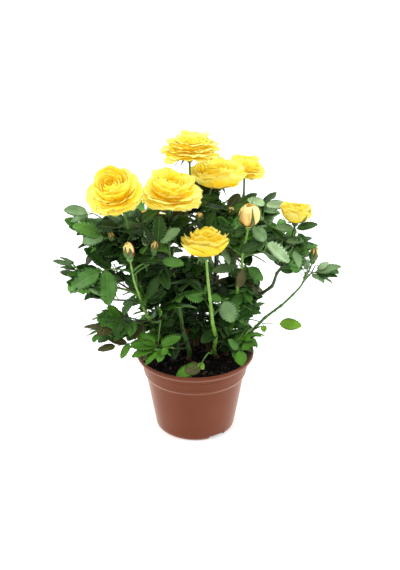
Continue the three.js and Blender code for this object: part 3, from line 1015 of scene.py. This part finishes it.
HEAD_MIDDLES, HEAD_AXES, HEAD_RADII, HEAD_HEIGHTS = head_spaces()
BUSH_LO, BUSH_HI = np.array(CAD_BOX[0]) / MM, np.array(CAD_BOX[1]) / MM
BOX_LO = np.array([MASS_BOXES[n][0] for n in MASS_NAMES]) - 12
BOX_HI = np.array([MASS_BOXES[n][1] for n in MASS_NAMES]) + 12


def hits_head(p, margin=1.5):
    """Whether a point lies in the space of a bloom or bud."""
    d = p - HEAD_MIDDLES
    along = (d * HEAD_AXES).sum(1)
    across = np.linalg.norm(d - along[:, None] * HEAD_AXES, axis=1)
    inside = (across / (HEAD_RADII + margin)) ** 2 + (along / (0.40 * HEAD_HEIGHTS + margin)) ** 2 < 1
    return bool(inside.any())


def mass_depth(p):
    """The depth in whichever mass a point is deepest in."""
    near = np.nonzero(np.all((p > BOX_LO) & (p < BOX_HI), axis=1))[0]
    return max([depth_in(MASS_TREES[MASS_NAMES[i]], p) for i in near], default=-40.0)


TAKEN = []      # the middles of the leaflets so far


def crowding(p):
    if not TAKEN:
        return 0.0
    d = np.linalg.norm(np.array(TAKEN) - p, axis=1)
    return float(np.clip(1 - d / 9.0, 0, 1).sum())


def leaf_score(parts):
    """How well a leaf lies: within the masses, clear of heads, pot and other leaves."""
    score = 0.0
    for start, heading, length in parts:
        for share in (0.5, 0.95):
            p = start + heading * length * share
            depth = mass_depth(p)
            score += min(1.0, 0.5 + depth / 8) if depth > -4 else -1.4 + depth / 2
            if hits_head(p):
                score -= 5
            if np.any(p < BUSH_LO) or np.any(p > BUSH_HI):
                score -= 9
            if p[2] < POT_TOP + 1 and math.hypot(p[0], p[1]) < RIM + 6:
                score -= 3
        score -= 0.9 * crowding(start + heading * length * 0.5)
    return score / len(parts)


def place_leaf(sites, used, size, rng, tries, spread=1.0):
    """The best of some leaves that could grow at some sites (points and headings)."""
    best = None
    for _ in range(tries):
        i = int(rng.integers(len(sites)))
        at, tangent = sites[i]
        azimuth = rng.random() * TURN
        a = unit(np.cross(tangent, vec(0.2, 0.9, 0.3)))
        out = math.cos(azimuth) * a + math.sin(azimuth) * np.cross(tangent, a)
        outward = unit((at - PLANT_MIDDLE) * vec(1, 1, 0))
        direction = unit(spread * out + 0.45 * tangent + 0.35 * outward + vec(0, 0, 0.25))
        grown, droop = size * rng.uniform(0.82, 1.12), rng.uniform(0.3, 1.1)
        leaflets = int(rng.choice([3, 5, 5, 5]))
        _, parts = leaf_shape(at, direction, upper_side(direction), grown, leaflets, droop, rng)
        score = leaf_score(parts) - 1.6 * used[i]
        if best is None or score > best[0]:
            best = (score, i, direction, grown, leaflets, droop)
    return best[1:]


# ------------------------------------------------------------------ twigs and leaves of each mass
PLANT_MIDDLE = vec(5, 8, 0)
CANE_PATHS = {}
GROWTH = {
    # mass: leaves, twigs, leaflet length, tints by share
    "left": (9, 3, 22, {"mid": 3, "dark": 3, "fresh": 1}),
    # In upper_left and upper_middle the dark brownish tint is painted shade, for the leaves under the
    # blooms.
    "upper_left": (11, 3, 22, {"dark": 3, "deep": 3, "dusk": 2, "grey": 1, "mid": 1}),
    "lower_left": (14, 4, 23, {"mid": 3, "dark": 3, "fresh": 1, "bronze": 1}),
    "front_low": (5, 2, 20, {"fresh": 3, "mid": 1}),
    "far_right": (4, 2, 17, {"grey": 2, "mid": 2, "fresh": 1}),
    "right": (9, 3, 21, {"dark": 3, "grey": 2, "mid": 3}),
    "upper_middle": (27, 5, 25, {"dark": 3, "deep": 5, "dusk": 3, "grey": 1}),
    "upper_right": (24, 5, 24, {"dark": 4, "grey": 3, "deep": 2, "mid": 3, "pale": 1}),
    "crown": (12, 3, 24, {"dark": 3, "deep": 2, "mid": 1}),
    "middle": (24, 6, 26, {"deep": 5, "dark": 4, "mid": 2}),
    "middle_right": (14, 4, 22, {"dark": 3, "mid": 3, "bronze": 2, "grey": 1}),
    "lower_middle": (20, 5, 24, {"dark": 4, "deep": 3, "mid": 3, "fresh": 1}),
    "lower_right": (11, 4, 18, {"fresh": 2, "mid": 3, "bronze": 2, "dark": 2}),
    "back_left": (26, 6, 26, {"dark": 4, "deep": 3, "mid": 3, "grey": 1}),
    "back_right": (22, 6, 26, {"dark": 4, "deep": 3, "mid": 3, "grey": 1}),
    "back_low": (20, 6, 25, {"dark": 4, "deep": 3, "mid": 3}),
}
# Leaves that stand out: the mass, where the leaf's stalk starts and ends from the mass's middle,
# and for each leaflet its tip, length, width and tint.
# Leaflets of the dark brownish tint are painted shade.
# Leaflets of the paler greyish tints are partly painted sheen.
SHOWN_LEAVES = [
    ("left", (40, -10, 10), (12, -15, 18),
     [((-28, -20, 2), 36, 20, "mid"), ((-10, -10, 8), 20, 10, "fresh"), ((13, -24, -16), 34, 20, "mid")]),
    ("left", (34, -4, 20), (20, -8, 12),
     [((-8, -14, 40), 34, 14, "dark"), ((5, -4, 42), 22, 12, "deep")]),
    ("upper_left", (14, -4, 10), (-2, -8, 25),
     [((-28, -12, 32), 22, 12, "grey"), ((-24, -6, 16), 20, 10, "grey")]),
    ("upper_left", (28, -24, 4), (12, -28, 8),
     [((-16, -34, 26), 28, 15, "mid"), ((-12, -24, 4), 22, 14, "grey"),
      ((-10, -24, -10), 20, 10, "fresh")]),
    ("lower_left", (18, -8, 5), (6, -12, 3),
     [((-18, -18, 12), 25, 14, "mid"), ((-20, -14, -14), 22, 12, "dark"),
      ((-8, -8, 24), 20, 12, "fresh")]),
    ("lower_left", (32, -8, -12), (12, -12, -17),
     [((-8, -15, -11), 18, 8, "bronze"), ((-20, -18, -20), 18, 9, "bronze"),
      ((2, -18, -30), 17, 7, "fresh")]),
    ("front_low", (6, -4, 32), (3, -8, 5),
     [((-23, -16, 0), 25, 11, "fresh"), ((-24, -10, 8), 25, 11, "fresh"),
      ((-18, -2, 16), 21, 12, "fresh"), ((23, -14, 20), 22, 12, "fresh")]),
    ("lower_middle", (25, -44, -12), (17, -48, -24),
     [((-7, -57, -31), 22, 13, "fresh"), ((2, -55, -28), 16, 16, "bronze"),
      ((20, -51, -27), 8, 7, "lime")]),
    ("lower_right", (0, -22, 3), (2, -26, -4),
     [((5, -36, -17), 15, 13, "fresh"), ((-9, -28, 8), 15, 11, "mid"), ((16, -30, 5), 14, 9, "fresh")]),
    ("lower_right", (8, 0, 16), (26, -4, 14),
     [((65, -8, 14), 22, 14, "lime"), ((28, -8, 6), 7, 6, "lime")]),
    ("middle_right", (-14, -34, 7), (-19, -38, 6),
     [((-9, -46, -13), 22, 18, "grey"), ((-33, -40, 13), 14, 10, "mid")]),
    ("middle_right", (4, -24, 40), (2, -28, 40),
     [((-30, -34, 38), 26, 10, "grey"), ((21, -30, 25), 20, 11, "mid"),
      ((-4, -32, 17), 20, 11, "bronze")]),
    ("upper_right", (30, -28, -5), (31, -32, 4),
     [((53, -38, -14), 28, 14, "pale"), ((18, -30, 19), 18, 13, "grey"), ((5, -36, -3), 24, 12, "dark")]),
    ("upper_right", (29, 30, 3), (32, 26, 18),
     [((52, 22, 20), 20, 11, "pale"), ((14, 28, 24), 18, 10, "pale")]),
    ("right", (3, -6, 12), (6, -10, 27),
     [((26, -14, 36), 20, 9, "dark"), ((-13, -8, 29), 18, 9, "grey"), ((18, -16, 12), 15, 8, "dark"),
      ((8, -16, -18), 28, 16, "mid")]),
    ("far_right", (-14, 2, -4), (-5, -2, -2),
     [((20, -6, 8), 24, 10, "grey"), ((18, -5, -4), 22, 8, "dark"), ((8, 0, 9), 12, 7, "pale")]),
    ("upper_middle", (-1, -32, -14), (8, -36, -12),
     [((-14, -38, -9), 21, 12, "dark"), ((30, -40, -14), 21, 12, "mid")]),
    ("upper_middle", (7, -28, -4), (5, -32, 4),
     [((-9, -30, 24), 24, 14, "deep"), ((7, -26, 30), 24, 14, "dark"), ((26, -34, 20), 24, 12, "grey")]),
    ("upper_middle", (8, -6, 0), (16, -10, 14),
     [((36, -16, 22), 22, 14, "dark"), ((22, -22, 28), 20, 13, "deep"), ((2, -20, 26), 20, 13, "deep"),
      ((32, 2, 28), 20, 13, "dusk")]),
    ("upper_middle", (-12, -8, 4), (-12, -14, 16),
     [((-32, -24, 22), 22, 13, "deep"), ((-14, -32, 24), 20, 13, "dusk"),
      ((6, -10, 30), 20, 13, "dark")]),
    ("upper_middle", (20, -4, -14), (26, -10, -10),
     [((32, -16, 14), 24, 14, "deep"), ((20, -22, 6), 20, 13, "dark"), ((40, -6, 4), 20, 12, "deep")]),
    ("upper_right", (-14, -6, 0), (-24, -12, 6),
     [((-20, -14, 26), 22, 14, "dark"), ((-36, -16, 22), 20, 12, "deep")]),
    ("upper_left", (20, -14, 6), (24, -22, 16),
     [((4, -32, 24), 24, 14, "deep"), ((26, -42, 26), 22, 14, "dusk"), ((44, -30, 22), 22, 13, "dark")]),
    ("upper_right", (-8, 6, 10), (-6, 6, 20),
     [((-28, -2, 30), 24, 13, "deep"), ((-8, -10, 30), 22, 13, "dark"), ((16, -2, 30), 22, 13, "dark"),
      ((6, 22, 32), 20, 12, "dusk")]),
]
SHOWN_UP = (0.0, -0.55, 0.83)       # the side that the leaves that stand out turn up
# Closed buds too small for the frame: the mass, the bud's foot from its middle, heading, length, radius.
SMALL_BUDS = [
    ("upper_middle", (1, -34, -8), (0.12, -0.1, 1.0), 17, 3.6),
    ("upper_left", (20, -24, 0), (-0.35, -0.1, 1.0), 15, 3.2),
    ("upper_middle", (44, -6, 16), (0.1, -0.2, 1.0), 10, 3.2),
    ("upper_right", (-2, 4, 16), (-0.1, -0.2, 1.0), 11, 3.4),
]


def inner_points(name, rng, count, deep=2.0):
    lo, hi = MASS_BOXES[name]
    found = []
    while len(found) < count:
        p = rng.uniform(lo, hi)
        if depth_in(MASS_TREES[name], p) > deep and not hits_head(p):
            found.append(p)
    return np.array(found)


def spread_points(points, count):
    """Some of the points, each as far as can be from those before it."""
    chosen = [points[0]]
    distance = np.linalg.norm(points - chosen[0], axis=1)
    while len(chosen) < count:
        chosen.append(points[int(distance.argmax())])
        distance = np.minimum(distance, np.linalg.norm(points - chosen[-1], axis=1))
    return np.array(chosen)


def grow_twig(twigs, target, rng, stem, end_radius=0.55):
    """A twig from the cane that lies nearest below a target, curving up and out to it."""
    best = None
    for path in CANE_PATHS.values():
        d = target - path
        away = np.linalg.norm(d, axis=1) + np.maximum(0, 14 - d[:, 2]) * 3.0 + 1e3 * (path[:, 2] < 84)
        i = int(away[4:-8].argmin()) + 4
        if best is None or away[i] < best[0]:
            best = (away[i], path[i], unit(path[i + 1] - path[i - 1]))
    _, start, heading = best
    reach = np.linalg.norm(target - start)
    toward = unit(target - start)
    leave = unit(heading + 0.9 * unit(toward * vec(1, 1, 0.3)))
    arrive = unit(toward + vec(0, 0, 0.35))
    path = bezier(start, start + leave * reach * 0.36, target - arrive * reach * 0.36, target, 16)
    wander = smooth_path(rng.normal(size=(16, 3)) * reach * 0.03, 3)
    path = path + wander * np.linspace(0, 1, 16)[:, None] * (np.arange(16) < 15)[:, None]
    tube(twigs, path, np.linspace(0.75 + 0.010 * reach, end_radius, len(path)), 7, STEM_NAMES.index(stem))
    return path


def add_shown_leaf(leaves, twigs, middle, root, joint, leaflets, rng):
    """One of the leaves that stand out, with a curved stalk."""
    root, joint = middle + root, middle + joint
    lift = vec(0, 0, 0.12 * np.linalg.norm(joint - root))
    green = STEM_NAMES.index("green")
    run = joint - root
    stalk = bezier(root, root + run * 0.35 + lift, joint - run * 0.3 + lift, joint, 9)
    tube(twigs, stalk, np.linspace(0.8, 0.5, 9), 6, green)
    for tip, length, width, tint_name in leaflets:
        tip = middle + tip
        heading = unit(tip - joint)
        foot = tip - heading * length
        if np.linalg.norm(foot - joint) > 1:
            tube(twigs, resample(np.array([joint, foot + heading]), 4), [0.5, 0.45, 0.42, 0.4], 5, green)
        share = width / (length * TEMPLATE_WIDTH)
        add_leaflet(leaves, foot, heading, SHOWN_UP, length, tint_name, rng, share)
        TAKEN.append((foot + tip) / 2)


def add_small_bud(petals, calyx, foot, heading, length, radius, rng):
    axes = head_axes(unit(heading))
    add_bud_petals(petals, foot, axes, radius * 0.9, length * 0.92, rng)
    add_bud_calyx(calyx, foot, axes, radius, length, rng, GREEN)


def grow_mass(name, bud_petals, bud_calyx):
    """The twigs and leaves of a mass: those that stand out first, then the rest where there is room."""
    wanted, twig_count, size, shares = GROWTH[name]
    rng = np.random.default_rng(900 + MASS_NAMES.index(name))
    leaves, twigs = Pile(), Pile()
    middle = MASS_MIDDLES[name]
    for mass, root, joint, leaflets in SHOWN_LEAVES:
        if mass == name:
            grow_twig(twigs, middle + root, rng, "green", 0.7)
            add_shown_leaf(leaves, twigs, middle, root, joint, leaflets, rng)
    for mass, foot, heading, length, radius in SMALL_BUDS:
        if mass == name:
            grow_twig(twigs, middle + foot, rng, "green", 0.8)
            add_small_bud(bud_petals, bud_calyx, middle + foot, vec(*heading), length, radius, rng)
    inside = inner_points(name, rng, 160)
    targets = spread_points(inside, twig_count + 1)[1:]
    targets += (inside.mean(0) - targets) * 0.35
    sites = []
    for target in targets:
        path = grow_twig(twigs, target, rng, pick({"green": 3, "dark": 2, "red": 1}, rng))
        tangent = unit(np.gradient(path, axis=0))
        own = [(path[i], tangent[i]) for i in range(5, len(path))]
        tip = place_leaf(own[-1:], [0], size * 0.92, rng, 26, spread=0.7)
        add_chosen_leaf(leaves, twigs, own[-1:], tip, shares, rng)
        sites += own
    for path in CANE_PATHS.values():
        tangent = unit(np.gradient(path, axis=0))
        sites += [(path[i], tangent[i]) for i in range(6, len(path) - 6, 3)
                  if depth_in(MASS_TREES[name], path[i]) > -14]
    used = np.zeros(len(sites))
    where = np.array([s[0] for s in sites])
    for _ in range(wanted):
        choice = place_leaf(sites, used, size, rng, 40)
        used += np.exp(-np.linalg.norm(where - where[choice[0]], axis=1) / 4)
        add_chosen_leaf(leaves, twigs, sites, choice, shares, rng)
    return leaves, twigs


def add_chosen_leaf(leaves, twigs, sites, choice, shares, rng):
    i, direction, size, leaflets, droop = choice
    parts = add_leaf(leaves, twigs, sites[i][0], direction, size, pick(shares, rng), rng, leaflets, droop,
                     pick({"green": 3, "bright": 1, "red": 1}, rng))
    TAKEN.extend(start + heading * length * 0.5 for start, heading, length in parts)


# ------------------------------------------------------------------ putting the plant together
def finish_piece(obj, slot, *nodes):
    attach(obj, "root")
    if nodes:
        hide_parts(*nodes)


finish_piece(make_pot(), "pot", "pot")
for soil_piece in make_soil():
    finish_piece(soil_piece, "soil", "soil")
for cane_key in sorted(CANES):
    bark_piece, CANE_PATHS[cane_key] = make_cane(cane_key)
    finish_piece(bark_piece, "cane", "cane_" + cane_key)
for head_key in sorted(HEADS):
    if head_key in FORMS:
        finish_piece(make_bloom(head_key), "bloom", HEADS[head_key])
    else:
        finish_piece(make_bud(head_key), "bud", HEADS[head_key])
    finish_piece(make_calyx(head_key), "leaf", HEADS[head_key])
small_petals, small_calyx = Pile(), Pile()
for mass_name in MASS_NAMES:
    leaf_pile, twig_pile = grow_mass(mass_name, small_petals, small_calyx)
    finish_piece(leaf_pile.mesh("leaves_" + mass_name, LEAF_MATERIALS), "leaf", "foliage_" + mass_name)
    finish_piece(twig_pile.mesh("twigs_" + mass_name, STEM), "cane", "foliage_" + mass_name)
finish_piece(small_petals.mesh("petals_small_buds", CREAM), "bud")
finish_piece(small_calyx.mesh("calyx_small_buds", SEPAL), "leaf")


# ------------------------------------------------------------------ camera, floor and light
FLOOR_HALF = 6.0
FLOOR_GLOW = 0.42
CAMERA_AT, CAMERA_TARGET = (0.005, -1.3505, 0.8111), (0.005, 0.0, 0.1582)
SENSOR = 36.0
PIXELS_HIGH, FOCAL_PIXELS = 570, 1500
AIM = (0, 0, 0.16)
SOFTBOXES = {
    # name: place, size, power
    "left": ((-1.3, -0.2, 0.8), 0.9, 12),
    "right": ((1.3, -0.1, 0.8), 0.9, 12),
    "top": ((0.0, 0.1, 1.7), 1.2, 14),
    "key": ((-0.5, -1.1, 1.5), 0.8, 5),
}
WORLD_FRONT, WORLD_BACK = 0.20, 0.65


def aimed(obj, place, target):
    obj.location = place
    obj.rotation_euler = (Vector(target) - Vector(place)).to_track_quat("-Z", "Y").to_euler()
    return obj


def make_floor():
    s = FLOOR_HALF
    mesh = bpy.data.meshes.new("floor")
    mesh.from_pydata([(-s, -s, 0), (s, -s, 0), (s, s, 0), (-s, s, 0)], [], [(0, 1, 2, 3)])
    mesh.materials.append(mottled("floor_white", (0.90, 0.90, 0.90), (0.92, 0.92, 0.92), 3, 0.8,
                                  Emission_Color=(1, 1, 1, 1), Emission_Strength=FLOOR_GLOW))
    linked("floor", mesh)


def make_world(scene):
    """Soft white light from all round, weaker from the front."""
    world = bpy.data.worlds.new("studio")
    world.use_nodes = True
    nodes, links = world.node_tree.nodes, world.node_tree.links
    place = nodes.new("ShaderNodeTexCoord")
    split = nodes.new("ShaderNodeSeparateXYZ")
    links.new(place.outputs["Generated"], split.inputs["Vector"])
    level = nodes.new("ShaderNodeMapRange")
    level.interpolation_type = "SMOOTHSTEP"
    for socket, value in (("From Min", -0.9), ("From Max", 0.1), ("To Min", WORLD_FRONT),
                          ("To Max", WORLD_BACK)):
        level.inputs[socket].default_value = value
    links.new(split.outputs["Y"], level.inputs["Value"])
    sky = nodes["Background"]
    sky.inputs["Color"].default_value = (1, 1, 1, 1)
    links.new(level.outputs["Result"], sky.inputs["Strength"])
    scene.world = world


def make_studio():
    scene = bpy.context.scene
    make_floor()
    make_world(scene)
    for name, (place, size, power) in SOFTBOXES.items():
        light = bpy.data.lights.new(name, "AREA")
        light.shape, light.size, light.energy = "DISK", size, power
        aimed(linked(name, light), place, AIM)
    scene.view_settings.view_transform = "Standard"
    lens = bpy.data.cameras.new("camera")
    lens.sensor_fit, lens.sensor_height, lens.sensor_width = "VERTICAL", SENSOR, SENSOR
    lens.lens = SENSOR * FOCAL_PIXELS / PIXELS_HIGH
    lens.clip_start, lens.clip_end = 0.05, 20
    scene.camera = aimed(linked("camera", lens), CAMERA_AT, CAMERA_TARGET)


make_studio()
